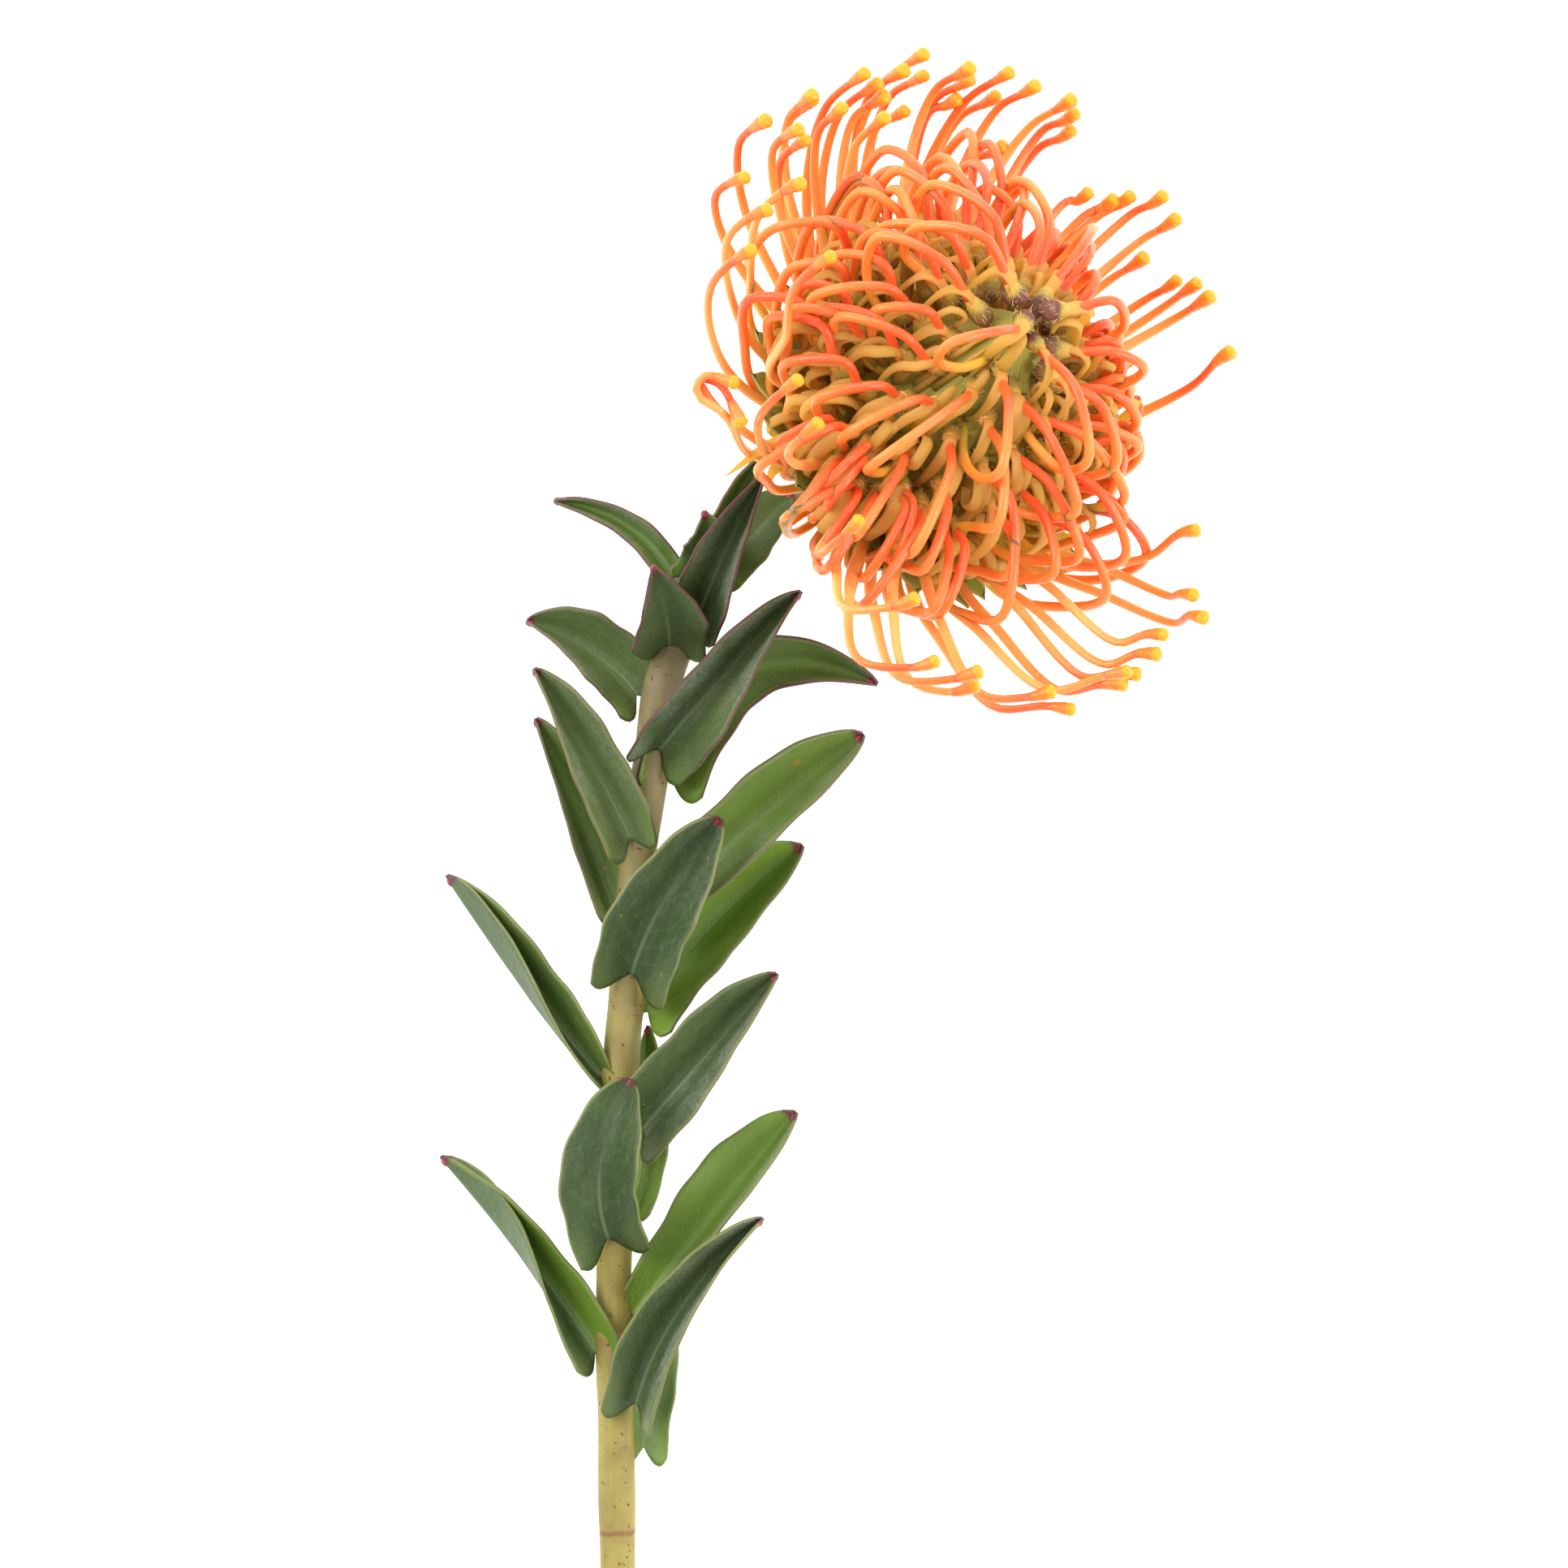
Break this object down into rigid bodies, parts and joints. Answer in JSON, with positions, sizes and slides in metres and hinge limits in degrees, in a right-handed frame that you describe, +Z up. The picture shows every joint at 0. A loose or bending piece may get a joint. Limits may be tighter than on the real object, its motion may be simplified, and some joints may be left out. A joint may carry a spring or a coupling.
{
  "type": "pincushion protea flower",
  "caption": "Cut pincushion protea stem lying on a surface: a leafy woody stem with a round orange head of open and looped styles.",
  "frame": {"origin": "on the surface that the stem lies on, under the middle of the whole stem's box", "axes": "+Y from the cut end of the stem towards the flower head, +Z up from the surface, +X to the side the head leans to"},
  "size_m": [0.1229, 0.2493, 0.0815],
  "materials": {
    "stem": "matte",
    "leaf": "satin",
    "flower": "satin",
    "presenter": "satin",
    "case": "matte",
    "knob": "matte",
    "receptacle": "matte",
    "bract": "matte"
  },
  "bodies": {
    "root": {"stem": "stem", "flower_head": "flower", "leaf_01": "leaf", "leaf_02": "leaf", "leaf_03": "leaf", "leaf_04": "leaf", "leaf_05": "leaf", "leaf_06": "leaf", "leaf_07": "leaf", "leaf_08": "leaf", "leaf_09": "leaf", "leaf_10": "leaf", "leaf_11": "leaf", "leaf_12": "leaf", "leaf_13": "leaf", "leaf_14": "leaf", "leaf_15": "leaf", "leaf_16": "leaf", "leaf_17": "leaf", "leaf_18": "leaf", "leaf_19": "leaf", "leaf_20": "leaf", "leaf_21": "leaf", "leaf_22": "leaf"}
  },
  "joints": []
}
